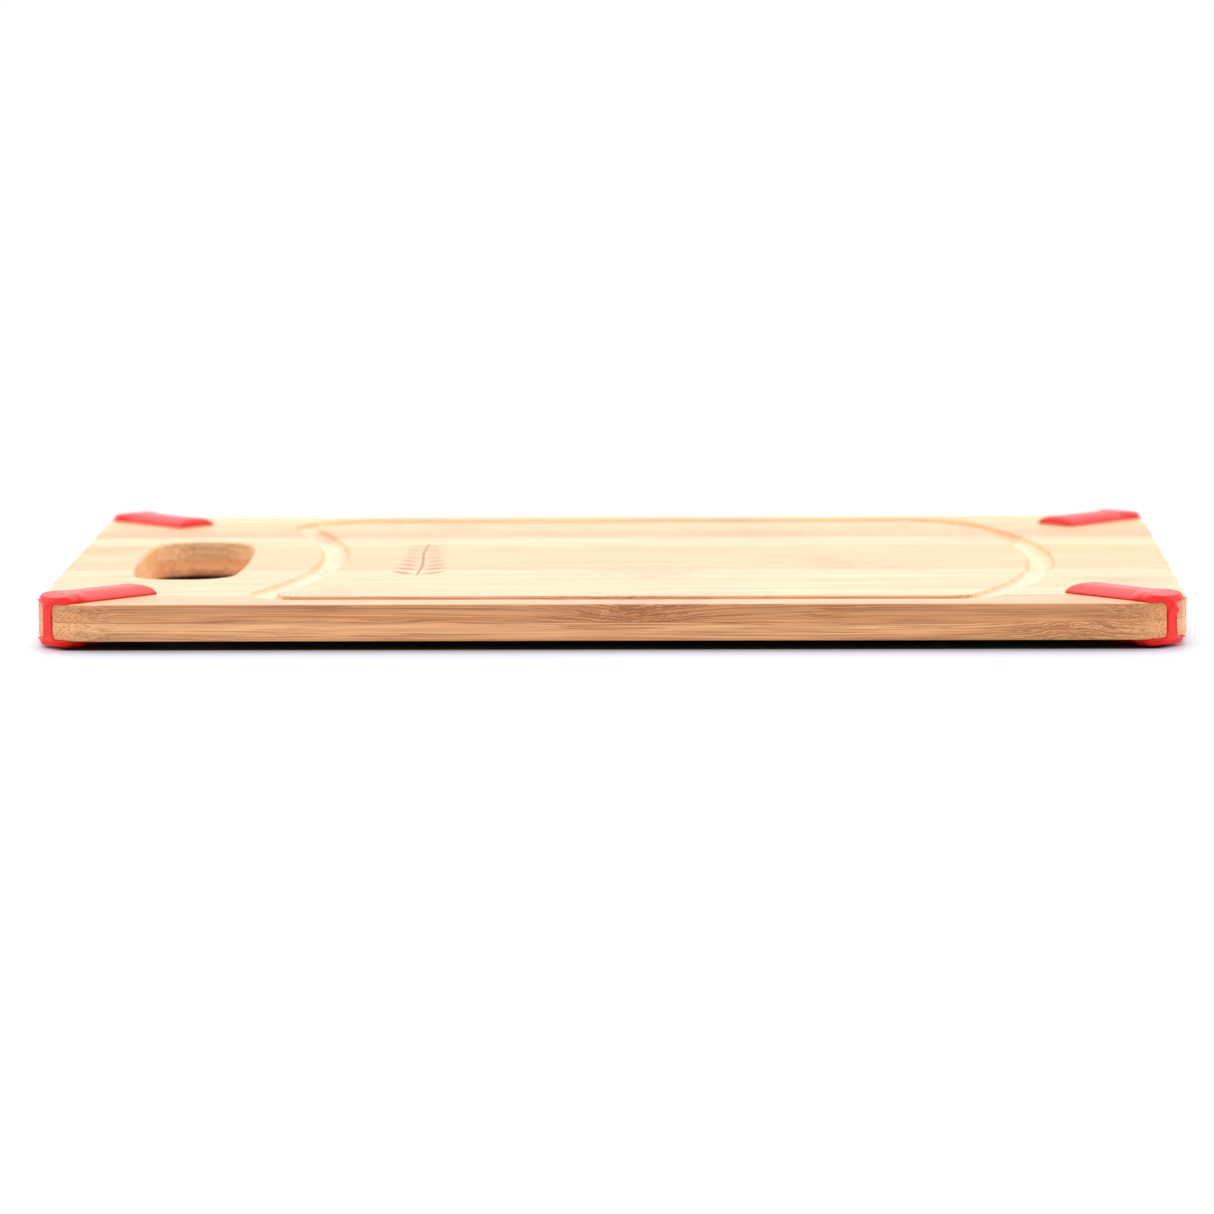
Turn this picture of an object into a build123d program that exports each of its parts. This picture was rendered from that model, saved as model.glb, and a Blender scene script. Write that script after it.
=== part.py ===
from build123d import *
import os
from math import hypot, sqrt

os.makedirs("parts", exist_ok=True)

# Laminated bamboo chopping board with a hand hole, a juice groove and a
# moulded rubber bumper on each corner.  Millimetres.
# Frame: +X along the board, away from the hand hole; the front long edge is
# at -Y; z = 0 is the table under the bumpers; x = y = 0 is the board centre.

# ---------------------------------------------------------------- board
BOARD_L = 380.0          # along X
BOARD_W = 265.0          # along Y
PLY_T = 6.1              # each of the two plies
BOARD_T = 2 * PLY_T
CORNER_R = 19.0          # plan radius of the four corners
EDGE_R = 0.7             # round-over of the top and bottom arrises
HALF_L, HALF_W = BOARD_L / 2, BOARD_W / 2

PAD_RISE = 3.0           # how far a bumper stands off each face
Z_BOT = PAD_RISE         # underside of the board
Z_GLUE = Z_BOT + PLY_T   # glue line between the plies
Z_TOP = Z_BOT + BOARD_T  # cutting face
Z_MID = (Z_BOT + Z_TOP) / 2

TOP_STRIPS = 11          # full-width strips side by side in the top ply
STRIP_W = BOARD_W / TOP_STRIPS
STAGGER = 0.4            # joints of the lower ply are this much of a strip along

# hand hole, near the -X end and a little nearer the front edge
HOLE_X = -147.4          # centre
HOLE_Y = -6.6
HOLE_LEN = 110.4         # along Y, wall to wall
HOLE_WIDE = 38.0         # along X at the middle
HOLE_SIDE_BOW = 3.2      # the long sides bulge by this much
HOLE_END_BOW = 0.9       # and the ends by this much
HOLE_CORNER_R = 14.0
HOLE_LIP_R = 1.0         # softened lip, both faces

# juice groove: a ball-nosed channel on a closed path
GROOVE_INSET = 17.0      # path to each long edge
GROOVE_Y = HALF_W - GROOVE_INSET     # the long runs lie at -GROOVE_Y and +GROOVE_Y
GROOVE_DEPTH = 2.7
GROOVE_R = 5.2           # radius of the channel floor
GROOVE_LIP_W = 0.5       # broken lip, width and depth
GROOVE_LIP_D = 0.35
GROOVE_LIFT = 0.03       # the lip slope runs on this far above the face
GROOVE_CUT_H = 1.0       # height of the cutting section above the face
GROOVE_BOW_Y = -5.0      # both end runs bow towards +X about this line
GROOVE_LEFT_X = -98.9    # apex of the left run
GROOVE_LEFT_BOW_R = 272.0
GROOVE_LEFT_NEAR_R = 13.5    # corner radii
GROOVE_LEFT_FAR_R = 24.5
GROOVE_RIGHT_X = 146.5   # apex of the right run
GROOVE_RIGHT_BOW_R = 256.0
GROOVE_RIGHT_NEAR_R = 15.0
GROOVE_RIGHT_FAR_R = 23.0

# -------------------------------------------------------------- bumpers
# A crowned finger on each face, joined by a strap and a plug.  Each is built
# with the square corner of the board at the origin and the diagonal running
# inward along +X, then set on its corner.
PAD_HALF = 8.6           # half width of a finger
PAD_CAP_HALF = 8.9       # half width of the thick cap over the corner
PAD_END = 48.0           # square corner to inner end, along the diagonal
PAD_END_R = 1.0          # plan radius of the inner end
PAD_CROWN = 2.5          # half width of the flat along the crown
PAD_SEAT = 7.4           # half width of the seated underside
PAD_LIFT = 0.12          # undercut below the long edges
PAD_EDGE = 0.40          # thickness of the long edges
PAD_SHOULDER = 0.58      # bulge of the arc from long edge to crown
PAD_OVER = 0.8           # overhang past the rounded corner
PAD_NOSE = 1.85          # thickness of the cap at the corner
PAD_CREASE = 13.5        # the cap is full height from here on
PAD_FADE = 19.5          # and has faded into the crowned finger here
STRAP_END = 2.5          # half width of the strap where it meets a finger
STRAP_WAIST = 2.15       # half width half way down
STRAP_SLOT = 1.2         # depth of the slot the strap lies in
STRAP_PROUD = 0.45       # strap surface outside the corner
PLUG_R = 2.5             # rubber plug through the board
PLUG_S = 39.0            # plug position along the diagonal
FRONT_LEFT_SHIFT = 1.8   # this bumper sits off its diagonal, towards -X and +Y

ARC_CENTRE = CORNER_R * sqrt(2)      # centre of the corner radius, on the diagonal
ARC_FACE = ARC_CENTRE - CORNER_R     # corner surface on the diagonal

# Cross-sections of a finger, outer end first: position, half width, edge
# thickness, half width of the flat on top, height, bulge of the shoulder
SECTIONS = [
    (ARC_FACE - 2.0, PAD_CAP_HALF, 0.95, PAD_CAP_HALF - 1.0, PAD_NOSE - 0.2, 0.22),
    (PAD_CREASE, PAD_CAP_HALF - 0.15, 1.65, PAD_CAP_HALF - 1.55, PAD_RISE - 0.08, 0.32),
    (PAD_FADE, PAD_HALF, PAD_EDGE, PAD_CROWN, PAD_RISE, PAD_SHOULDER),
    (PAD_END + 4.0, PAD_HALF, PAD_EDGE, PAD_CROWN, PAD_RISE, PAD_SHOULDER),
]

# Rounded drop at the inner end: distance back from the end, depth below the crown
END_DROP = [(3.6, 0), (1.5, 0.42), (0.35, 1.4)]

# Oversizes of the shapes that trim a finger
TRIM_LEN = 60.0          # plan outline, inward from the corner arc centre
TRIM_END_LEN = 100.0     # rounded rectangle that forms the inner end
TRIM_WEDGE = 90.0        # wedge between the two board edges
TRIM_HALF_W = 20.0       # side profile, each way
TRIM_BELOW = 1.0
TRIM_ABOVE = 0.5

# name, x side, y side, turn about Z in degrees, sideways shift of the bumper
CORNERS = [
    ("front_left", -1, -1, 45, FRONT_LEFT_SHIFT),
    ("front_right", 1, -1, 135, 0.0),
    ("back_right", 1, 1, 225, 0.0),
    ("back_left", -1, 1, 315, 0.0),
]


def groove_corner(side, radius, apex_x, bow_r, bow_side):
    """Start, middle and end of a path corner, from the long run to the bowed run.

    side is -1 at the front and 1 at the back.  bow_side is 1 where the corner
    arc lies outside the circle of the bow and -1 where it lies inside.
    """
    bow_x = apex_x - bow_r
    centre_y = side * (GROOVE_Y - radius)
    from_bow_y = centre_y - GROOVE_BOW_Y
    centre_gap = bow_r + bow_side * radius
    centre_x = bow_x + sqrt(centre_gap ** 2 - from_bow_y ** 2)
    ratio = bow_r / centre_gap
    end_x = bow_x + (centre_x - bow_x) * ratio
    end_y = GROOVE_BOW_Y + from_bow_y * ratio

    # half way round, on the line from the arc centre through the chord's middle
    chord_x = (centre_x + end_x) / 2 - centre_x
    chord_y = (side * GROOVE_Y + end_y) / 2 - centre_y
    scale = radius / hypot(chord_x, chord_y)
    return [(centre_x, side * GROOVE_Y, Z_TOP),
            (centre_x + chord_x * scale, centre_y + chord_y * scale, Z_TOP),
            (end_x, end_y, Z_TOP)]


def make_board():
    """The glued-up panel, machined as one envelope for the strips."""
    # hand hole outline before its corners are rounded
    mid_x, mid_y = HOLE_WIDE / 2, HOLE_LEN / 2
    corner_x, corner_y = mid_x - HOLE_SIDE_BOW, mid_y - HOLE_END_BOW

    left = (GROOVE_LEFT_X, GROOVE_LEFT_BOW_R, 1)
    right = (GROOVE_RIGHT_X, GROOVE_RIGHT_BOW_R, -1)
    right_near = groove_corner(-1, GROOVE_RIGHT_NEAR_R, *right)
    right_far = groove_corner(1, GROOVE_RIGHT_FAR_R, *right)
    left_far = groove_corner(1, GROOVE_LEFT_FAR_R, *left)
    left_near = groove_corner(-1, GROOVE_LEFT_NEAR_R, *left)
    groove_start = (0, -GROOVE_Y, Z_TOP)

    # half widths of the channel where the floor meets the lip, and at the top
    floor_half = sqrt(GROOVE_R ** 2 - (GROOVE_R - GROOVE_DEPTH + GROOVE_LIP_D) ** 2)
    lip_half = floor_half + GROOVE_LIP_W * (1 + GROOVE_LIFT / GROOVE_LIP_D)

    with BuildPart() as board:
        with BuildSketch(Plane.XY.offset(Z_BOT)):
            RectangleRounded(BOARD_L, BOARD_W, CORNER_R)
        extrude(amount=BOARD_T)
        fillet(board.faces().filter_by(Axis.Z).edges(), EDGE_R)

        # hand hole
        with BuildSketch(Plane(origin=(HOLE_X, HOLE_Y, Z_BOT), x_dir=(1, 0, 0),
                               z_dir=(0, 0, 1))) as hole:
            with BuildLine():
                ThreePointArc((corner_x, -corner_y), (mid_x, 0), (corner_x, corner_y))
                ThreePointArc((corner_x, corner_y), (0, mid_y), (-corner_x, corner_y))
                ThreePointArc((-corner_x, corner_y), (-mid_x, 0), (-corner_x, -corner_y))
                ThreePointArc((-corner_x, -corner_y), (0, -mid_y), (corner_x, -corner_y))
            make_face()
            fillet(hole.vertices(), HOLE_CORNER_R)
        extrude(amount=BOARD_T, mode=Mode.SUBTRACT)
        lip = [edge for face in board.faces().filter_by(Axis.Z)
               for wire in face.inner_wires() for edge in wire.edges()]
        fillet(lip, HOLE_LIP_R)

        # juice groove, right-hand end first
        with BuildLine() as path:
            Line(groove_start, right_near[0])
            ThreePointArc(*right_near)
            ThreePointArc(right_near[2], (GROOVE_RIGHT_X, GROOVE_BOW_Y, Z_TOP), right_far[2])
            ThreePointArc(*reversed(right_far))
            Line(right_far[0], left_far[0])
            ThreePointArc(*left_far)
            ThreePointArc(left_far[2], (GROOVE_LEFT_X, GROOVE_BOW_Y, Z_TOP), left_near[2])
            ThreePointArc(*reversed(left_near))
            Line(left_near[0], groove_start)
        with BuildSketch(Plane(origin=groove_start, x_dir=(0, 1, 0),
                               z_dir=(1, 0, 0))) as channel:
            with BuildLine():
                ThreePointArc((-floor_half, -GROOVE_LIP_D), (0, -GROOVE_DEPTH),
                              (floor_half, -GROOVE_LIP_D))
                Polyline((floor_half, -GROOVE_LIP_D), (lip_half, GROOVE_LIFT),
                         (lip_half, GROOVE_CUT_H), (-lip_half, GROOVE_CUT_H),
                         (-lip_half, GROOVE_LIFT), (-floor_half, -GROOVE_LIP_D))
            make_face()
        sweep(sections=channel.sketch, path=path.wires()[0], mode=Mode.SUBTRACT)

        # slot for each bumper strap and hole for each bumper plug
        slot_end = ARC_FACE + STRAP_SLOT
        for _, x_side, y_side, _, shift in CORNERS:
            inward = Plane(origin=(x_side * HALF_L, y_side * HALF_W, Z_BOT),
                           x_dir=(-x_side, -y_side, 0), z_dir=(0, 0, 1))
            with BuildSketch(inward):
                with Locations((slot_end / 2, shift)):
                    Rectangle(slot_end, 2 * STRAP_END)
                with Locations((PLUG_S, shift)):
                    Circle(PLUG_R)
            extrude(amount=BOARD_T, mode=Mode.SUBTRACT)
    return board.part


def export_piece(part, label):
    part.label = label
    export_step(part, "parts/" + label + ".step")


def make_strip(board, label, x0, x1, y0, y1, z0):
    """One strip of a ply, cut from the machined panel."""
    with BuildPart() as piece:
        with BuildSketch(Plane.XY.offset(z0)):
            with Locations(((x0 + x1) / 2, (y0 + y1) / 2)):
                Rectangle(x1 - x0, y1 - y0)
        extrude(amount=PLY_T)
        add(board, mode=Mode.INTERSECT)
    export_piece(piece.part, label)


def lay_ply(board, name, joints, z0):
    """Full-length strips between the joints.

    A strip that the hand hole cuts right through leaves a short block at the
    handle end and a long piece beyond the hole.
    """
    past_end = BOARD_L   # well beyond either end of the board
    for i, (y0, y1) in enumerate(zip(joints, joints[1:]), start=1):
        label = f"{name}_strip_{i:02d}"
        if y0 > HOLE_Y - HOLE_LEN / 2 and y1 < HOLE_Y + HOLE_LEN / 2:
            make_strip(board, label + "_handle_end", -past_end, HOLE_X, y0, y1, z0)
            make_strip(board, label, HOLE_X, past_end, y0, y1, z0)
        else:
            make_strip(board, label, -past_end, past_end, y0, y1, z0)


def shoulder_mid(y0, z0, y1, z1, bulge):
    """Middle point of a convex arc between the long edge and the crown."""
    dy, dz = y1 - y0, z1 - z0
    chord = hypot(dy, dz)
    return (y0 + y1) / 2 + dz / chord * bulge, (z0 + z1) / 2 - dy / chord * bulge


def make_finger(shift):
    """Upper finger of a bumper, seated on z = 0."""
    drop = [(PAD_END - back, PAD_RISE - down) for back, down in END_DROP]
    with BuildPart() as finger:
        for pos, half, edge, crown, height, bulge in SECTIONS:
            with BuildSketch(Plane(origin=(pos, shift, 0), x_dir=(0, 1, 0), z_dir=(1, 0, 0))):
                mid_y, mid_z = shoulder_mid(half, edge, crown, height, bulge)
                with BuildLine():
                    Line((-crown, height), (crown, height))
                    ThreePointArc((crown, height), (mid_y, mid_z), (half, edge))
                    Polyline((half, edge), (half, PAD_LIFT), (PAD_SEAT, 0), (-PAD_SEAT, 0),
                             (-half, PAD_LIFT), (-half, edge))
                    ThreePointArc((-half, edge), (-mid_y, mid_z), (-crown, height))
                make_face()
        loft(ruled=True)

        # plan outline: follows the board corner, square-cut at the inner end
        with BuildSketch(Plane.XY):
            with Locations((ARC_CENTRE, 0)):
                Circle(CORNER_R + PAD_OVER)
            with Locations((ARC_CENTRE + TRIM_LEN / 2, 0)):
                Rectangle(TRIM_LEN, 6 * PAD_HALF)
            with Locations((PAD_END - TRIM_END_LEN / 2, shift)):
                RectangleRounded(TRIM_END_LEN, 2 * PAD_CAP_HALF, PAD_END_R,
                                 mode=Mode.INTERSECT)
            # stays inside the two straight edges of the board
            with BuildLine():
                Polyline((0, 0), (TRIM_WEDGE, -TRIM_WEDGE), (TRIM_WEDGE, TRIM_WEDGE),
                         close=True)
            make_face(mode=Mode.INTERSECT)
        extrude(amount=PAD_RISE + 1, mode=Mode.INTERSECT)

        # side profile: level along the crown, steep rounded inner end
        with BuildSketch(Plane.XZ):
            with BuildLine():
                Polyline((PAD_END, -TRIM_BELOW), (0, -TRIM_BELOW), (0, PAD_RISE + TRIM_ABOVE),
                         (drop[0][0], PAD_RISE + TRIM_ABOVE), drop[0])
                ThreePointArc(*drop)
                Polyline(drop[2], (PAD_END, 0), (PAD_END, -TRIM_BELOW))
            make_face()
        extrude(amount=TRIM_HALF_W, both=True, mode=Mode.INTERSECT)
    return finger.part


def make_bumper(name, x_side, y_side, turn, shift):
    finger = make_finger(shift)
    with BuildPart() as bumper:
        with Locations((0, 0, Z_TOP)):
            add(finger)
        mirror(about=Plane.XY.offset(Z_MID))

        # strap down the corner, waisted, joining the two fingers
        with BuildSketch(Plane(origin=(ARC_FACE - STRAP_PROUD, shift, 0),
                               x_dir=(0, 1, 0), z_dir=(1, 0, 0))):
            with BuildLine():
                Line((-STRAP_END, Z_BOT), (STRAP_END, Z_BOT))
                ThreePointArc((STRAP_END, Z_BOT), (STRAP_WAIST, Z_MID), (STRAP_END, Z_TOP))
                Line((STRAP_END, Z_TOP), (-STRAP_END, Z_TOP))
                ThreePointArc((-STRAP_END, Z_TOP), (-STRAP_WAIST, Z_MID), (-STRAP_END, Z_BOT))
            make_face()
        extrude(amount=STRAP_SLOT + STRAP_PROUD)

        # plug through the board near the inner end
        with BuildSketch(Plane.XY.offset(Z_BOT)):
            with Locations((PLUG_S, shift)):
                Circle(PLUG_R)
        extrude(amount=BOARD_T)

    with BuildPart() as piece:
        with Locations(Location((x_side * HALF_L, y_side * HALF_W, 0), (0, 0, turn))):
            add(bumper.part)
    export_piece(piece.part, "corner_bumper_" + name)


# The joints of the two plies are staggered, so the lower one starts and ends
# with a narrower strip.
top_joints = [-HALF_W + i * STRIP_W for i in range(TOP_STRIPS + 1)]
bottom_joints = ([-HALF_W]
                 + [-HALF_W + (i + STAGGER) * STRIP_W for i in range(TOP_STRIPS)]
                 + [HALF_W])

panel = make_board()
lay_ply(panel, "top", top_joints, Z_GLUE)
lay_ply(panel, "bottom", bottom_joints, Z_BOT)
for corner in CORNERS:
    make_bumper(*corner)
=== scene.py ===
"""Bamboo chopping board with red corner bumpers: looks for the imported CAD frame.

Everything is in the row frame, in metres: +X along the board away from the
hand hole, -Y the front long edge, z = 0 the table.
"""
import bpy
import bmesh
import math
import random
from mathutils import Matrix, Vector


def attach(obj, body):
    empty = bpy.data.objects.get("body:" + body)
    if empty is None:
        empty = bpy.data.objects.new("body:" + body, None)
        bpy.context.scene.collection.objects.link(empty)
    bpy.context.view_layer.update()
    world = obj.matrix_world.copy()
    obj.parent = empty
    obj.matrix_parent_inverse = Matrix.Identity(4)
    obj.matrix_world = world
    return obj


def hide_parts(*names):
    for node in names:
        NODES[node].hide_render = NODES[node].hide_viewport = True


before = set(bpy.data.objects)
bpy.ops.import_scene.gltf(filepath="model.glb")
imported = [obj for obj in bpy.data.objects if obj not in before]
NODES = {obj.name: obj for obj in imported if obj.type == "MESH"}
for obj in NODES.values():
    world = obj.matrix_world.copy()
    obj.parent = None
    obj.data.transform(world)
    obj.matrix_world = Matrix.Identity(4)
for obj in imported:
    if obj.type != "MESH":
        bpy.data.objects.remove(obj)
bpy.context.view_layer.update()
random.seed(7)

MM = 0.001
Z_TOP = 15.2          # cutting face, mm
Z_GLUE = 9.1          # joint between the plies, mm
Z_BOT = 3.0           # underside of the board, mm


# --------------------------------------------------------------- node helpers
class Net:
    """Small helper that adds shader nodes and wires them up."""

    def __init__(self, tree):
        self.t = tree

    def node(self, kind, **props):
        n = self.t.nodes.new(kind)
        for k, v in props.items():
            setattr(n, k, v)
        return n

    def plug(self, value, socket):
        if isinstance(value, bpy.types.NodeSocket):
            self.t.links.new(value, socket)
        elif value is not None:
            socket.default_value = value

    def math(self, op, a, b=None, c=None, clamp=False):
        n = self.node("ShaderNodeMath", operation=op, use_clamp=clamp)
        self.plug(a, n.inputs[0])
        self.plug(b, n.inputs[1])
        self.plug(c, n.inputs[2])
        return n.outputs[0]

    def add(self, a, b):
        return self.math("ADD", a, b)

    def sub(self, a, b):
        return self.math("SUBTRACT", a, b)

    def mul(self, a, b):
        return self.math("MULTIPLY", a, b)

    def ramp(self, v, lo, hi, a=0.0, b=1.0, smooth=True):
        n = self.node("ShaderNodeMapRange", clamp=True,
                      interpolation_type="SMOOTHSTEP" if smooth else "LINEAR")
        self.plug(v, n.inputs["Value"])
        n.inputs["From Min"].default_value = lo
        n.inputs["From Max"].default_value = hi
        n.inputs["To Min"].default_value = a
        n.inputs["To Max"].default_value = b
        return n.outputs[0]

    def xyz(self, x, y, z):
        n = self.node("ShaderNodeCombineXYZ")
        self.plug(x, n.inputs[0])
        self.plug(y, n.inputs[1])
        self.plug(z, n.inputs[2])
        return n.outputs[0]

    def split(self, v):
        n = self.node("ShaderNodeSeparateXYZ")
        self.plug(v, n.inputs[0])
        return n.outputs[0], n.outputs[1], n.outputs[2]

    def vadd(self, a, b):
        n = self.node("ShaderNodeVectorMath", operation="ADD")
        self.plug(a, n.inputs[0])
        self.plug(b, n.inputs[1])
        return n.outputs[0]

    def noise(self, vec, scale=1.0, detail=2.0, rough=0.5, distort=0.0):
        n = self.node("ShaderNodeTexNoise")
        self.plug(vec, n.inputs["Vector"])
        n.inputs["Scale"].default_value = scale
        n.inputs["Detail"].default_value = detail
        n.inputs["Roughness"].default_value = rough
        n.inputs["Distortion"].default_value = distort
        return n.outputs[0]

    def voronoi(self, vec, scale=1.0, jitter=1.0):
        n = self.node("ShaderNodeTexVoronoi", feature="F1")
        self.plug(vec, n.inputs["Vector"])
        n.inputs["Scale"].default_value = scale
        n.inputs["Randomness"].default_value = jitter
        return n.outputs["Distance"], n.outputs["Color"]

    def mix(self, fac, a, b, mode="MIX"):
        n = self.node("ShaderNodeMix", data_type="RGBA", blend_type=mode)
        self.plug(fac, n.inputs[0])
        self.plug(a, n.inputs[6])
        self.plug(b, n.inputs[7])
        return n.outputs[2]

    def bump(self, height, strength, distance, normal=None):
        n = self.node("ShaderNodeBump")
        n.inputs["Strength"].default_value = strength
        n.inputs["Distance"].default_value = distance
        self.plug(height, n.inputs["Height"])
        if normal is not None:
            self.plug(normal, n.inputs["Normal"])
        return n.outputs[0]


def rgb(r, g, b):
    return (r, g, b, 1.0)


# ------------------------------------------------------------ bamboo material
def bamboo_group():
    """Solid bamboo: fibre bundles run along X, so a long side shows lines, an
    end shows dots and the round corners fade from one to the other."""
    g = bpy.data.node_groups.new("bamboo_solid", "ShaderNodeTree")
    for name, kind in (("Base", "NodeSocketColor"), ("Bundle", "NodeSocketColor"),
                       ("Seed", "NodeSocketVector"),
                       ("Knot A", "NodeSocketFloat"), ("Knot A bend", "NodeSocketFloat"),
                       ("Knot B", "NodeSocketFloat"), ("Knot B bend", "NodeSocketFloat"),
                       ("Skin z", "NodeSocketFloat"), ("Skin dir", "NodeSocketFloat"),
                       ("Burn", "NodeSocketFloat")):
        g.interface.new_socket(name, in_out="INPUT", socket_type=kind)
    for name, kind in (("Color", "NodeSocketColor"), ("Roughness", "NodeSocketFloat"),
                       ("Height", "NodeSocketFloat")):
        g.interface.new_socket(name, in_out="OUTPUT", socket_type=kind)
    n = Net(g)
    gi = n.node("NodeGroupInput")
    go = n.node("NodeGroupOutput")
    inp = {s.name: s for s in gi.outputs}

    tc = n.node("ShaderNodeTexCoord")
    sc = n.node("ShaderNodeVectorMath", operation="SCALE")
    n.plug(tc.outputs["Object"], sc.inputs[0])
    sc.inputs["Scale"].default_value = 1000.0
    x, y, z = n.split(sc.outputs[0])
    sx, sy, sz = n.split(inp["Seed"])
    yq, zq, xq = n.add(y, sy), n.add(z, sz), n.add(x, sx)

    # slow wander of the fibres
    w1 = n.noise(n.xyz(n.mul(xq, 0.007), n.mul(yq, 0.05), n.mul(zq, 0.08)), 1.0, 2.0)
    w2 = n.noise(n.xyz(n.mul(xq, 0.011), n.add(n.mul(yq, 0.06), 31.0), n.mul(zq, 0.10)), 1.0, 2.0)
    fy = n.add(yq, n.mul(n.sub(w1, 0.5), 3.0))
    fz = n.add(zq, n.mul(n.sub(w2, 0.5), 1.8))

    # near the ends the cut crosses the fibres at a slant
    away = n.math("MAXIMUM", n.sub(n.math("ABSOLUTE", x), 160.0), 0.0)
    fy = n.add(fy, n.mul(n.mul(away, away), 0.006))

    # knots: fibres dip or rise towards each one and turn wavy inside it
    rag = n.noise(n.xyz(0.0, n.mul(yq, 0.16), n.mul(zq, 0.35)), 1.0, 2.0)
    rag = n.mul(n.sub(rag, 0.5), 8.0)
    turb = n.sub(n.noise(n.xyz(n.mul(xq, 0.085), n.mul(yq, 0.22), n.mul(zq, 0.40)), 1.0, 2.0, 0.5), 0.5)
    turb2 = n.sub(n.noise(n.xyz(n.mul(xq, 0.11), n.add(n.mul(yq, 0.25), 17.0), n.mul(zq, 0.42)), 1.0, 2.0, 0.5), 0.5)
    knot = None
    wide_all = None
    for tag in ("A", "B"):
        u = n.add(n.sub(x, inp["Knot " + tag]), rag)
        r1 = n.math("DIVIDE", u, 17.0)
        wide = n.math("DIVIDE", 1.0, n.add(1.0, n.mul(r1, r1)))
        r2 = n.math("DIVIDE", u, 7.0)
        core = n.math("DIVIDE", 1.0, n.add(1.0, n.mul(n.mul(r2, r2), n.mul(r2, r2))))
        fz = n.add(fz, n.mul(wide, inp["Knot %s bend" % tag]))
        knot = core if knot is None else n.math("MAXIMUM", knot, core)
        wide_all = wide if wide_all is None else n.math("MAXIMUM", wide_all, wide)
    w_sq = n.mul(wide_all, wide_all)
    w_4 = n.mul(w_sq, w_sq)
    fz = n.add(fz, n.mul(n.mul(w_sq, turb), 4.0))
    fy = n.add(fy, n.mul(n.mul(w_sq, turb2), 5.0))

    # how close a point is to the dense outer skin of its strip, 0 to 1
    skin = n.mul(n.sub(z, inp["Skin z"]), inp["Skin dir"])
    skin = n.ramp(skin, -6.0, 0.0, 0.0, 1.0, smooth=False)

    nrm = n.node("ShaderNodeNewGeometry")
    nx, ny, nz = n.split(nrm.outputs["Normal"])
    end = n.ramp(n.mul(nx, nx), 0.003, 0.16)
    side = n.ramp(n.mul(ny, ny), 0.20, 0.75)

    # fibre bundles: coarse ones, and a finer set nearer the skin
    d1, c1 = n.voronoi(n.xyz(n.mul(xq, 0.011), n.mul(fy, 1.62), n.mul(fz, 1.72)))
    d2, c2 = n.voronoi(n.xyz(n.mul(xq, 0.016), n.mul(fy, 2.40), n.mul(fz, 2.90)))
    b1 = n.ramp(d1, 0.26, 0.46, 1.0, 0.0)
    b2 = n.ramp(d2, 0.20, 0.46, 1.0, 0.0)
    r1, r1b, _ = n.split(c1)
    r2, _, _ = n.split(c2)
    b1 = n.mul(b1, n.ramp(r1, 0.0, 0.6, 0.30, 1.0))
    b2 = n.mul(b2, n.ramp(r2, 0.2, 1.0, 0.0, 1.0))
    bundles = n.add(n.mul(b1, n.ramp(skin, 0.0, 1.0, 1.0, 0.70)),
                    n.mul(b2, n.ramp(skin, 0.15, 1.0, 0.30, 0.85)))
    bundles = n.math("MINIMUM", bundles, 1.0)

    # fine fibres, broad tone bands, and thin dark lines in drifts
    fine = n.noise(n.xyz(n.mul(xq, 0.022), n.mul(fy, 2.9), n.mul(fz, 2.9)), 1.0, 3.0, 0.70)
    tone = n.noise(n.xyz(n.mul(xq, 0.0040), n.mul(fy, 0.22), n.mul(fz, 0.62)), 1.0, 4.0, 0.62)
    seam = n.noise(n.xyz(n.mul(xq, 0.0050), n.mul(fy, 0.8), n.mul(fz, 1.15)), 1.0, 2.0, 0.6)
    seam = n.ramp(n.math("ABSOLUTE", n.sub(seam, 0.5)), 0.0, 0.030, 1.0, 0.0)
    gate = n.noise(n.xyz(n.mul(xq, 0.016), n.mul(yq, 0.2), n.add(n.mul(zq, 0.35), 9.0)), 1.0, 2.0)
    seam = n.mul(seam, n.ramp(gate, 0.36, 0.60, 0.15, 1.0))
    # the lines crowd together beside a knot
    rings = n.noise(n.xyz(n.mul(xq, 0.022), n.mul(fy, 0.5), n.mul(fz, 1.9)), 1.0, 1.0)
    rings = n.ramp(n.math("ABSOLUTE", n.sub(rings, 0.5)), 0.0, 0.055, 1.0, 0.0)
    rings = n.mul(rings, n.ramp(wide_all, 0.18, 0.75))
    arc_w = n.noise(n.xyz(n.mul(xq, 0.012), n.mul(yq, 0.2), n.mul(zq, 0.3)), 1.0, 2.0)
    arc = n.math("FRACT", n.add(n.add(n.mul(fz, 0.78), n.mul(arc_w, 1.6)), 400.0))
    arc = n.math("ABSOLUTE", n.sub(arc, 0.5))
    arc = n.mul(n.ramp(arc, 0.03, 0.13, 1.0, 0.0), n.ramp(wide_all, 0.10, 0.50))
    rings = n.math("MAXIMUM", n.mul(rings, 0.7), arc)

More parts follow.
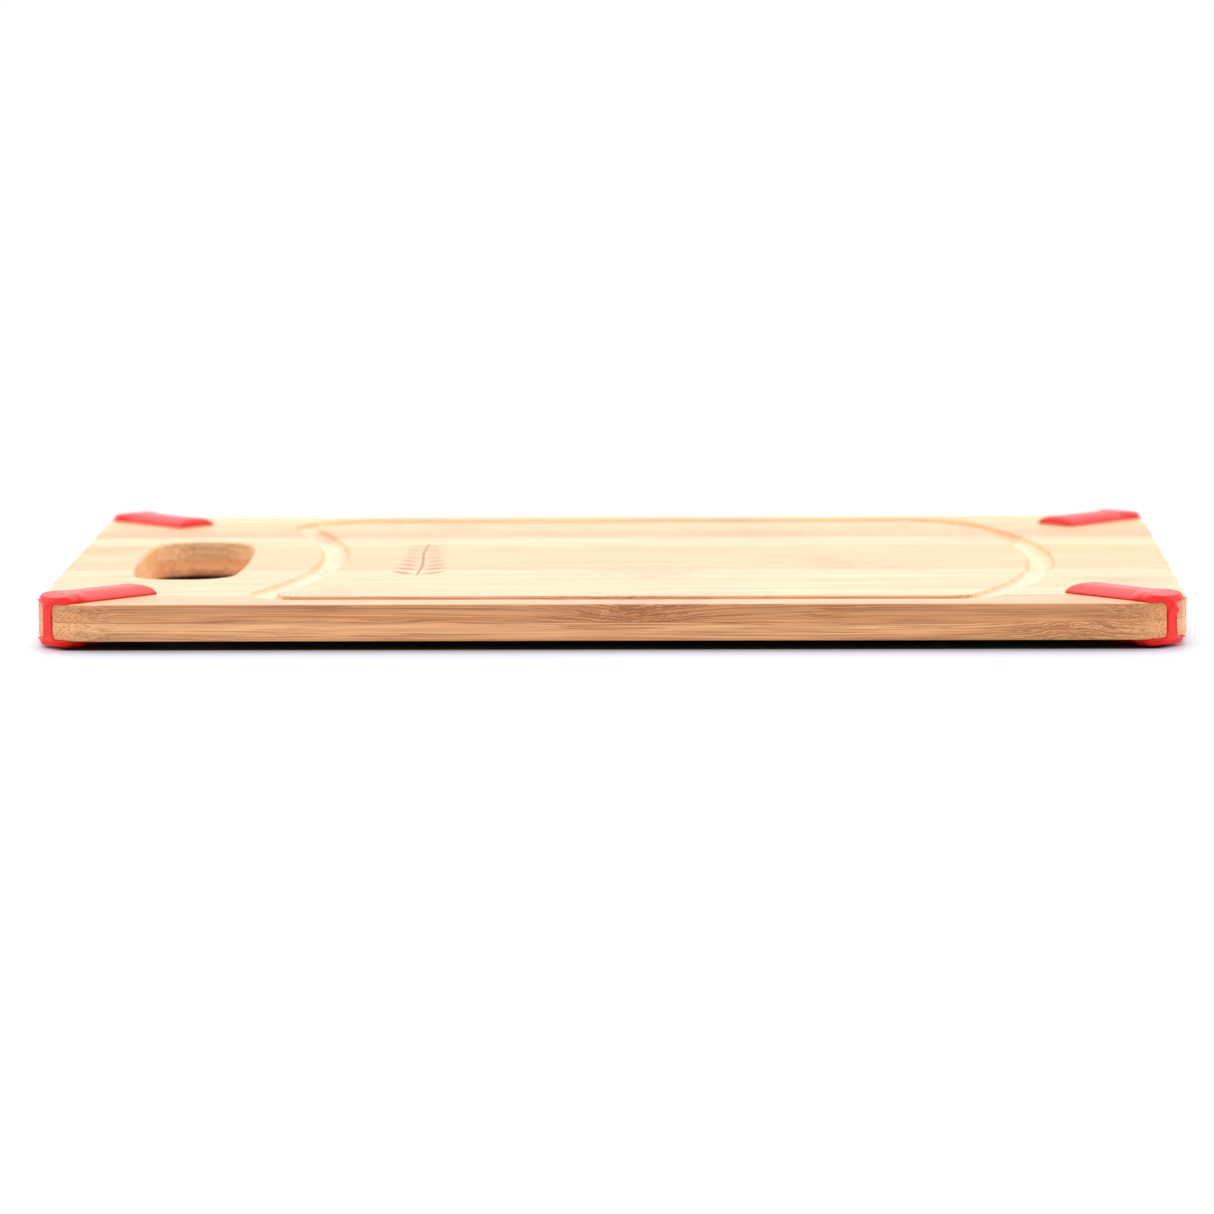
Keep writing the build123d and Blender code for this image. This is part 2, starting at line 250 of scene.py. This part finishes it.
    amount = n.mul(bundles, n.add(0.30, n.add(n.mul(side, 0.10), n.mul(end, 0.62))))
    amount = n.math("MINIMUM", amount, 0.95)
    col = n.mix(amount, inp["Base"], inp["Bundle"])
    v = n.add(n.add(0.52, n.mul(fine, 1.04)), n.mul(n.sub(tone, 0.5), 0.62))
    v = n.mul(v, n.ramp(skin, 0.35, 0.9, 1.04, 0.93))
    col = n.mix(1.0, col, n.xyz(v, v, v), "MULTIPLY")
    thread = n.noise(n.xyz(n.mul(xq, 0.006), n.mul(fy, 1.4), n.mul(fz, 2.3)), 1.0, 2.0, 0.5)
    thread = n.ramp(n.math("ABSOLUTE", n.sub(thread, 0.5)), 0.012, 0.050, 1.0, 0.0)
    lines = n.math("MAXIMUM", n.math("MAXIMUM", n.mul(seam, 0.85), n.mul(rings, 0.95)), n.mul(thread, n.ramp(gate, 0.34, 0.60, 0.22, 0.80)))
    lines = n.mul(lines, n.sub(1.0, n.mul(end, 0.8)))
    lines = n.mul(lines, n.add(0.55, n.mul(side, 0.45)))
    col = n.mix(lines, col, n.mix(1.0, col, rgb(0.46, 0.30, 0.18), "MULTIPLY"))
    # the front edge darkens a little towards the right
    warm = n.mul(side, n.ramp(x, -170.0, 190.0, 0.0, 1.0, smooth=False))
    col = n.mix(warm, col, n.mix(1.0, col, rgb(0.985, 0.930, 0.860), "MULTIPLY"))
    # painted sheen: faces turned up are painted a little paler and cooler, standing in for the white sheen of the
    # backdrop on the cutting face
    face = n.ramp(nz, 0.80, 0.97)
    col = n.mix(face, col, n.mix(1.0, col, rgb(1.0, 1.05, 1.05), "MULTIPLY"))
    # painted highlight: the groove floor is painted paler and bluer, and the hand-hole wall below paler, standing in
    # for light falling on them
    deep = n.ramp(z, Z_TOP - 1.7, Z_TOP - 0.6, 1.0, 0.0)
    inside = n.mul(n.ramp(n.math("ABSOLUTE", y), 121.5, 122.5, 1.0, 0.0), n.ramp(x, -124.0, -122.0))
    groove_floor_painted_highlight = n.mul(n.mul(deep, inside), n.ramp(nz, 0.2, 0.75))
    col = n.mix(n.mul(groove_floor_painted_highlight, 0.75), col, n.mix(0.45, n.mix(1.0, col, rgb(1.10, 1.20, 1.42), "MULTIPLY"), rgb(0.86, 0.67, 0.50)))
    # painted light: the hand-hole wall is painted paler, standing in for light reaching it through the opening
    bore_painted_light = n.mul(n.ramp(n.math("ABSOLUTE", n.add(x, 147.4)), 20.0, 20.6, 1.0, 0.0),
                 n.ramp(n.math("ABSOLUTE", n.add(y, 6.6)), 55.9, 56.3, 1.0, 0.0))
    bore_painted_light = n.mul(bore_painted_light, n.ramp(n.math("ABSOLUTE", nz), 0.35, 0.75, 1.0, 0.0))
    col = n.mix(bore_painted_light, col, n.mix(1.0, col, rgb(1.22, 1.20, 1.26), "MULTIPLY"))
    # painted light: groove walls facing +X are painted paler and bluer, standing in for light they catch
    groove_wall_painted_light = n.mul(n.mul(n.ramp(z, Z_TOP - 0.30, Z_TOP - 0.04, 1.0, 0.0), inside), n.ramp(nx, 0.10, 0.55))
    col = n.mix(groove_wall_painted_light, col, n.mix(1.0, col, rgb(1.15, 1.25, 1.40), "MULTIPLY"))
    # knots: ragged reddish smudge
    smudge = n.mul(knot, n.ramp(n.add(n.add(turb, 0.5), n.mul(n.sub(fine, 0.5), 0.7)), 0.36, 0.66))
    col = n.mix(n.mul(smudge, 0.45), col, n.mix(1.0, col, rgb(0.84, 0.62, 0.50), "MULTIPLY"))
    # glue film between the plies
    gl = n.ramp(n.math("ABSOLUTE", n.sub(z, n.add(Z_GLUE, n.mul(n.sub(fine, 0.5), 0.12)))), 0.05, 0.22, 1.0, 0.0)
    col = n.mix(n.mul(gl, 0.55), col, n.mix(1.0, col, rgb(0.62, 0.48, 0.38), "MULTIPLY"))

    # burnt sprig on the cutting face: a stem with paired leaves, drawn by rule
    bx = n.sub(x, -68.0)
    by = n.sub(y, -4.5)
    along = n.ramp(n.math("ABSOLUTE", by), 46.0, 47.0, 1.0, 0.0)
    ax = n.math("ABSOLUTE", n.add(bx, n.mul(n.math("SINE", n.mul(by, 0.067)), 0.7)))
    stem = n.ramp(ax, 0.35, 0.62, 1.0, 0.0)
    rise = n.sub(by, n.mul(ax, 0.95))
    t = n.math("DIVIDE", n.add(rise, 200.0), 11.5)
    cell = n.mul(n.sub(n.math("FRACT", t), 0.5), 11.5)
    size = n.ramp(by, -46.0, 47.0, 1.0, 0.55, smooth=False)
    lc = n.math("DIVIDE", n.sub(ax, n.mul(size, 5.6)), n.mul(size, 4.9))
    leaf_h = n.mul(n.mul(size, 3.0), n.sub(1.0, n.mul(lc, lc)))
    leaf_d = n.sub(n.math("ABSOLUTE", cell), leaf_h)
    leaf = n.ramp(leaf_d, -0.35, 0.15, 1.0, 0.0)
    vein = n.ramp(n.math("ABSOLUTE", cell), 0.12, 0.38, 0.0, 1.0)
    leaf = n.mul(leaf, vein)
    burn = n.mul(n.math("MAXIMUM", stem, leaf), along)
    burn = n.mul(burn, n.ramp(z, Z_TOP - 0.06, Z_TOP - 0.02))
    burn = n.mul(n.mul(burn, inp["Burn"]), n.ramp(fine, 0.2, 0.75, 0.72, 1.0))
    col = n.mix(n.mul(burn, 0.9), col, rgb(0.27, 0.090, 0.034))

    rough = n.add(0.37, n.mul(fine, 0.12))
    rough = n.add(rough, n.mul(end, 0.14))
    rough = n.add(rough, n.mul(burn, 0.2))
    h = n.add(n.mul(bundles, -0.55), n.mul(fine, 0.5))
    h = n.sub(h, n.mul(lines, 0.8))
    h = n.add(h, n.mul(n.mul(w_sq, n.noise(n.xyz(n.mul(xq, 0.03), n.mul(fy, 1.3), n.mul(fz, 1.5)), 1.0, 2.0)), 2.6))
    h = n.sub(h, n.mul(burn, 0.6))
    n.plug(col, go.inputs["Color"])
    n.plug(rough, go.inputs["Roughness"])
    n.plug(h, go.inputs["Height"])
    return g


GROUP = bamboo_group()


def bamboo(name, base, bundle, seed, knots, skin_z, skin_dir, burn):
    m = bpy.data.materials.new(name)
    m.use_nodes = True
    t = m.node_tree
    t.nodes.clear()
    n = Net(t)
    out = n.node("ShaderNodeOutputMaterial")
    p = n.node("ShaderNodeBsdfPrincipled")
    g = n.node("ShaderNodeGroup")
    g.node_tree = GROUP
    g.inputs["Base"].default_value = rgb(*base)
    g.inputs["Bundle"].default_value = rgb(*bundle)
    g.inputs["Seed"].default_value = seed
    (ka, kab), (kb, kbb) = knots
    g.inputs["Knot A"].default_value = ka
    g.inputs["Knot A bend"].default_value = kab
    g.inputs["Knot B"].default_value = kb
    g.inputs["Knot B bend"].default_value = kbb
    g.inputs["Skin z"].default_value = skin_z
    g.inputs["Skin dir"].default_value = skin_dir
    g.inputs["Burn"].default_value = burn
    t.links.new(g.outputs["Color"], p.inputs["Base Color"])
    t.links.new(g.outputs["Roughness"], p.inputs["Roughness"])
    p.inputs["IOR"].default_value = 1.5
    t.links.new(n.bump(g.outputs["Height"], 0.55, 0.00012), p.inputs["Normal"])
    t.links.new(p.outputs[0], out.inputs[0])
    return m


# average colour of each strip, front to back
TOP_BASE = [(0.62, 0.292, 0.120), (0.66, 0.408, 0.212), (0.65, 0.384, 0.186), (0.65, 0.396, 0.192),
            (0.62, 0.330, 0.134), (0.63, 0.350, 0.142), (0.63, 0.338, 0.126), (0.66, 0.404, 0.194),
            (0.60, 0.278, 0.104), (0.62, 0.340, 0.138), (0.66, 0.414, 0.166)]
BOTTOM_TONE = [0.95, 0.55, 0.70, 0.40, 0.62, 0.50, 0.78, 0.45, 0.66, 0.35, 0.58, 0.72]
LIFT = 1.16           # makes up for what the dark fibres take away
FAR = 900.0
TOP_KNOTS = {1: ((8.0, 3.2), (FAR, 0)), 2: ((-93.0, 1.5), (FAR, 0)), 3: ((171.0, -1.5), (FAR, 0)),
             4: ((10.0, 2.0), (FAR, 0)), 5: ((76.0, -1.8), (FAR, 0)), 6: ((70.0, 1.6), (FAR, 0)),
             7: ((-178.0, 1.6), (FAR, 0)), 8: ((FAR, 0), (FAR, 0)), 9: ((47.0, -2.0), (FAR, 0)),
             10: ((-60.0, 1.5), (FAR, 0)), 11: ((128.0, 1.8), (FAR, 0))}
BOTTOM_KNOTS = {1: ((151.0, -2.6), (FAR, 0)), 2: ((-120.0, 2.0), (FAR, 0)), 3: ((40.0, -1.5), (FAR, 0)),
                4: ((-30.0, 1.5), (FAR, 0)), 5: ((110.0, 2.0), (FAR, 0)), 6: ((-80.0, -1.5), (175.0, 1.5)),
                7: ((20.0, 2.0), (FAR, 0)), 8: ((140.0, -1.5), (FAR, 0)), 9: ((-10.0, 1.5), (FAR, 0)),
                10: ((90.0, 2.0), (FAR, 0)), 11: ((-140.0, -1.5), (FAR, 0)), 12: ((60.0, 1.5), (FAR, 0))}


def lerp(a, b, t):
    return tuple(p + (q - p) * t for p, q in zip(a, b))


for name, obj in NODES.items():
    if "strip" not in name:
        continue
    top = name.startswith("top")
    idx = int(name.split("_")[2])
    if top:
        base = TOP_BASE[idx - 1]
    else:
        base = lerp((0.60, 0.270, 0.105), (0.75, 0.395, 0.178), BOTTOM_TONE[idx - 1])
    base = tuple(c * LIFT for c in base)
    bundle = tuple(c * f for c, f in zip(base, (0.56, 0.37, 0.20)))
    rng = random.Random(idx * 17 + (0 if top else 500))
    seed = (rng.uniform(-800, 800), rng.uniform(-300, 300), rng.uniform(-300, 300))
    knots = (TOP_KNOTS if top else BOTTOM_KNOTS)[idx]
    mat = bamboo("bamboo_" + name, base, bundle, seed, knots,
                 Z_TOP if top else Z_BOT, 1.0 if top else -1.0, 1.0 if top else 0.0)
    obj.data.materials.clear()
    obj.data.materials.append(mat)


# ------------------------------------------------------------ rubber material
def rubber():
    m = bpy.data.materials.new("red_rubber")
    m.use_nodes = True
    t = m.node_tree
    t.nodes.clear()
    n = Net(t)
    out = n.node("ShaderNodeOutputMaterial")
    p = n.node("ShaderNodeBsdfPrincipled")
    tc = n.node("ShaderNodeTexCoord")
    sc = n.node("ShaderNodeVectorMath", operation="SCALE")
    n.plug(tc.outputs["Object"], sc.inputs[0])
    sc.inputs["Scale"].default_value = 1000.0
    co = sc.outputs[0]
    broad = n.noise(co, 0.12, 3.0, 0.6)
    grain = n.noise(co, 3.2, 3.0, 0.6)
    dust = n.noise(co, 1.1, 4.0, 0.7)
    col = n.mix(broad, rgb(0.90, 0.010, 0.008), rgb(0.98, 0.017, 0.013))
    col = n.mix(n.mul(n.ramp(dust, 0.55, 0.8), 0.06), col, rgb(1.0, 0.14, 0.12))
    # painted contact shadow: the lowest 0.4 mm of each finger, where it sits on the board face, is painted dark red
    # along its long edges
    _, _, pz = n.split(co)
    top_seat_painted_shadow = n.mul(n.ramp(pz, Z_TOP + 0.05, Z_TOP + 0.42, 1.0, 0.0), n.ramp(pz, Z_TOP - 0.10, Z_TOP))
    bottom_seat_painted_shadow = n.mul(n.ramp(pz, Z_BOT - 0.42, Z_BOT - 0.05), n.ramp(pz, Z_BOT, Z_BOT + 0.10, 1.0, 0.0))
    px, py, _ = n.split(co)
    diag = n.mul(n.add(n.sub(190.0, n.math("ABSOLUTE", px)), n.sub(132.5, n.math("ABSOLUTE", py))), 0.7071)
    col = n.mix(n.mul(n.mul(n.math("MAXIMUM", top_seat_painted_shadow, bottom_seat_painted_shadow), n.ramp(diag, 12.0, 17.0)), 0.8),
                col, rgb(0.24, 0.006, 0.005))
    n.plug(col, p.inputs["Base Color"])
    n.plug(n.add(0.44, n.add(n.mul(n.sub(grain, 0.5), 0.10), n.mul(n.ramp(dust, 0.5, 0.8), 0.10))),
           p.inputs["Roughness"])
    p.inputs["IOR"].default_value = 1.42
    p.inputs["Subsurface Weight"].default_value = 0.10
    p.inputs["Subsurface Radius"].default_value = (0.004, 0.0006, 0.0004)
    p.inputs["Subsurface Scale"].default_value = 0.4
    h = n.add(n.mul(grain, 0.35), n.mul(n.noise(co, 0.45, 2.0), 1.6))
    t.links.new(n.bump(h, 0.35, 0.00010), p.inputs["Normal"])
    t.links.new(p.outputs[0], out.inputs[0])
    return m


RUBBER = rubber()

# each bumper as moulded: the CAD solid with its arrises rolled over, a flare
# where the strap runs into the fingers and the torn-off gate on the strap
CORNER_R = 19.0
CORNER_C = CORNER_R * math.sqrt(2)
CORNERS = {"corner_bumper_front_left": (-1, -1, 1.8), "corner_bumper_front_right": (1, -1, 0.0),
           "corner_bumper_back_right": (1, 1, 0.0), "corner_bumper_back_left": (-1, 1, 0.0)}


def corner_frame(sx, sy):
    """Corner at the origin, +X running inward along the diagonal, millimetres in."""
    d = Vector((-sx, -sy, 0)).normalized()
    p = Vector((-d.y, d.x, 0))
    m = Matrix.Identity(4)
    for r in range(3):
        m[r][0], m[r][1] = d[r] * MM, p[r] * MM
        m[r][2] = MM if r == 2 else 0.0
    m[0][3], m[1][3] = sx * 0.190, sy * 0.1325
    return m


def skin_rings(bm, rings):
    loops = [[bm.verts.new(p) for p in ring] for ring in rings]
    for a, b in zip(loops, loops[1:]):
        for i in range(len(a)):
            j = (i + 1) % len(a)
            bm.faces.new((a[i], a[j], b[j], b[i]))
    bm.faces.new(list(reversed(loops[0])))
    bm.faces.new(loops[-1])


def flare(bm, shift, z_face, way):
    """Web that widens the strap as it meets a finger, on the corner radius."""
    rings = []
    for dz, w, proud in ((-0.4, 4.2, 0.60), (0.2, 3.6, 0.55), (0.7, 3.0, 0.52), (1.5, 2.6, 0.48), (2.6, 2.4, 0.44)):
        ring = []
        for t in (-1, -0.6, -0.2, 0.2, 0.6, 1):
            y = shift + t * w
            ring.append(Vector((CORNER_C - math.sqrt((CORNER_R + proud) ** 2 - y * y), y, z_face + way * dz)))
        for t in (1, 0.6, 0.2, -0.2, -0.6, -1):
            y = shift + t * w
            ring.append(Vector((CORNER_C - math.sqrt((CORNER_R - 0.5) ** 2 - y * y), y, z_face + way * dz)))
        rings.append(ring)
    skin_rings(bm, rings)


def lump(bm, centre, radii, turn=0.0, tilt=0.0):
    m = (Matrix.Translation(centre) @ Matrix.Rotation(turn, 4, "X") @ Matrix.Rotation(tilt, 4, "Y") @
         Matrix.Diagonal((radii[0], radii[1], radii[2], 1.0)))
    bmesh.ops.create_icosphere(bm, subdivisions=3, radius=1.0, matrix=m)


def moulded_bumper(node, sx, sy, shift):
    src = NODES[node]
    frame_m = corner_frame(sx, sy)
    extra = bmesh.new()
    flare(extra, shift, Z_TOP, -1.0)
    flare(extra, shift, Z_BOT, 1.0)
    s0 = CORNER_C - CORNER_R
    if node.endswith("front_right"):
        lump(extra, (s0 - 0.65, shift - 0.2, Z_TOP - 1.6), (0.8, 1.7, 1.5), 0.35)
        lump(extra, (s0 - 0.55, shift + 1.3, Z_TOP - 2.9), (0.6, 0.75, 1.2), 0.6)
        lump(extra, (s0 - 0.45, shift - 2.2, Z_TOP - 2.6), (0.6, 0.5, 1.3), -0.3)
    elif node.endswith("front_left"):
        lump(extra, (s0 - 0.45, shift + 0.4, Z_TOP - 1.1), (0.6, 2.0, 0.9), -0.2)
    else:
        lump(extra, (s0 - 0.5, shift, Z_TOP - 1.3), (0.6, 1.5, 1.1), 0.1)
    bmesh.ops.transform(extra, matrix=frame_m, verts=extra.verts)
    bmesh.ops.recalc_face_normals(extra, faces=extra.faces)
    me = bpy.data.meshes.new(node + "_extra")
    extra.to_mesh(me)
    extra.free()
    both = bmesh.new()
    both.from_mesh(src.data)
    both.from_mesh(me)
    joined = bpy.data.meshes.new(node + "_joined")
    both.to_mesh(joined)
    both.free()
    tmp = bpy.data.objects.new(node + "_tmp", joined)
    bpy.context.scene.collection.objects.link(tmp)
    r = tmp.modifiers.new("remesh", "REMESH")
    r.mode = "VOXEL"
    r.voxel_size = 0.00026
    r.adaptivity = 0.0
    sm = tmp.modifiers.new("smooth", "SMOOTH")
    sm.factor, sm.iterations = 0.5, 5
    dg = bpy.context.evaluated_depsgraph_get()
    done = bpy.data.meshes.new_from_object(tmp.evaluated_get(dg))
    bpy.data.objects.remove(tmp)
    # the cap over the corner is domed down towards its outline
    inv = frame_m.inverted()
    back = frame_m
    for v in done.vertices:
        q = inv @ v.co
        for face, way in ((Z_TOP, 1.0), (Z_BOT, -1.0)):
            h = (q.z - face) * way
            if h <= 0.15 or q.x > CORNER_C:
                continue
            d = CORNER_R + 0.8 - math.hypot(q.x - CORNER_C, q.y)
            u = 1.0 - min(max(d, 0.0) / 3.0, 1.0)
            w = 1.0 - min(max(8.9 - abs(q.y - shift), 0.0) / 6.0, 1.0)
            w *= 1.0 - min(max(q.x - 14.0, 0.0) / 6.0, 1.0)
            limit = 0.35 + 2.80 * math.sqrt(max(1.0 - u * u - w * w, 0.0))
            if h > limit:
                q.z = face + way * limit
                v.co = back @ q
    piece = bpy.data.objects.new("moulded_" + node, done)
    bpy.context.scene.collection.objects.link(piece)
    done.materials.clear()
    done.materials.append(RUBBER)
    for p in done.polygons:
        p.use_smooth = True
    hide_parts(node)
    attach(piece, "root")
    return piece


for node, (sx, sy, shift) in CORNERS.items():
    NODES[node].data.materials.clear()
    NODES[node].data.materials.append(RUBBER)
    moulded_bumper(node, sx, sy, shift)


# ------------------------------------------------------------- stage and light
def floor_material():
    m = bpy.data.materials.new("pale_floor")
    m.use_nodes = True
    t = m.node_tree
    t.nodes.clear()
    n = Net(t)
    out = n.node("ShaderNodeOutputMaterial")
    p = n.node("ShaderNodeBsdfPrincipled")
    tc = n.node("ShaderNodeTexCoord")
    v = n.noise(tc.outputs["Object"], 3.0, 4.0, 0.6)
    pale = n.mix(v, rgb(0.69, 0.72, 0.80), rgb(0.73, 0.76, 0.84))
    # no light reaches the floor below the board
    fx, fy, _ = n.split(tc.outputs["Object"])
    away = n.ramp(n.add(n.mul(fx, fx), n.mul(fy, fy)), 0.15, 1.2)
    pale = n.mix(away, pale, rgb(0.76, 0.765, 0.775))
    ax = n.ramp(n.math("ABSOLUTE", fx), 0.178, 0.185, 1.0, 0.0)
    ay = n.ramp(n.math("ABSOLUTE", fy), 0.1300, 0.1325, 1.0, 0.0)
    hx = n.ramp(n.math("ABSOLUTE", n.add(fx, 0.1474)), 0.016, 0.019, 1.0, 0.0)
    hy = n.ramp(n.math("ABSOLUTE", n.add(fy, 0.0066)), 0.050, 0.054, 1.0, 0.0)
    n.plug(n.mix(n.mul(n.mul(ax, ay), n.sub(1.0, n.mul(hx, hy))), pale, rgb(0.06, 0.055, 0.055)), p.inputs["Base Color"])
    n.plug(n.ramp(v, 0.3, 0.7, 0.45, 0.55), p.inputs["Roughness"])
    p.inputs["Specular IOR Level"].default_value = 0.2
    t.links.new(p.outputs[0], out.inputs[0])
    return m


bpy.ops.mesh.primitive_plane_add(size=60.0, location=(0, 0, 0))
floor = bpy.context.object
floor.name = "floor"
floor.data.materials.append(floor_material())

# studio: bright backdrop behind and above, dim in front
world = bpy.data.worlds.new("studio")
bpy.context.scene.world = world
world.use_nodes = True
wt = world.node_tree
wt.nodes.clear()
wn = Net(wt)
wo = wn.node("ShaderNodeOutputWorld")
bg = wn.node("ShaderNodeBackground")
wc = wn.node("ShaderNodeTexCoord")
_, wy, wz = wn.split(wc.outputs["Generated"])
level = wn.ramp(wy, -0.55, 0.65, 1.08, 2.1)
level = wn.mul(level, wn.ramp(wz, 0.25, 0.9, 1.0, 0.62))
path = wn.node("ShaderNodeLightPath")
level = wn.add(wn.mul(level, wn.sub(1.0, path.outputs["Is Camera Ray"])), path.outputs["Is Camera Ray"])
bg.inputs["Color"].default_value = rgb(0.99, 0.99, 1.0)
wn.plug(level, bg.inputs["Strength"])
wt.links.new(bg.outputs[0], wo.inputs[0])


def area(name, loc, aim, size, power, color=(1, 1, 1)):
    d = bpy.data.lights.new(name, "AREA")
    d.shape = "RECTANGLE"
    d.size, d.size_y = size
    d.energy = power
    d.color = color
    o = bpy.data.objects.new(name, d)
    bpy.context.scene.collection.objects.link(o)
    o.location = loc
    o.rotation_euler = (Vector(aim) - Vector(loc)).to_track_quat("-Z", "Y").to_euler()
    return o


area("key_overhead", (-0.1, 0.75, 1.9), (0, 0, 0), (1.8, 1.4), 22.0, (1.0, 0.985, 0.96))

# ---------------------------------------------------------------------- camera
cam_data = bpy.data.cameras.new("photo_camera")
cam = bpy.data.objects.new("photo_camera", cam_data)
bpy.context.scene.collection.objects.link(cam)
bpy.context.scene.camera = cam
cam_data.sensor_width = 36.0
cam_data.lens = 189.562
cam_data.clip_end = 100.0
cam_data.dof.use_dof = True
cam.matrix_world = (Matrix.Translation((0.049516, -2.212385, 0.273915)) @
                    Matrix.Rotation(0.0242825, 4, "Z") @
                    Matrix.Rotation(math.pi / 2 - 0.1241589, 4, "X") @
                    Matrix.Rotation(-0.0050510, 4, "Z"))

# shallow focus on the near edge; stopped right down for any other viewpoint
near = bpy.data.objects.new("near_edge", None)
bpy.context.scene.collection.objects.link(near)
near.location = (0.0, -0.128, 0.012)
cam_data.dof.focus_object = near
stop = cam_data.dof.driver_add("aperture_fstop").driver
var = stop.variables.new()
var.name = "cy"
var.type = "TRANSFORMS"
var.targets[0].id = cam
var.targets[0].transform_type = "LOC_Y"
var.targets[0].transform_space = "WORLD_SPACE"
stop.expression = "11 + 100000 * abs(cy + 2.212385)"

scene = bpy.context.scene
scene.view_settings.view_transform = "Standard"
scene.view_settings.look = "None"
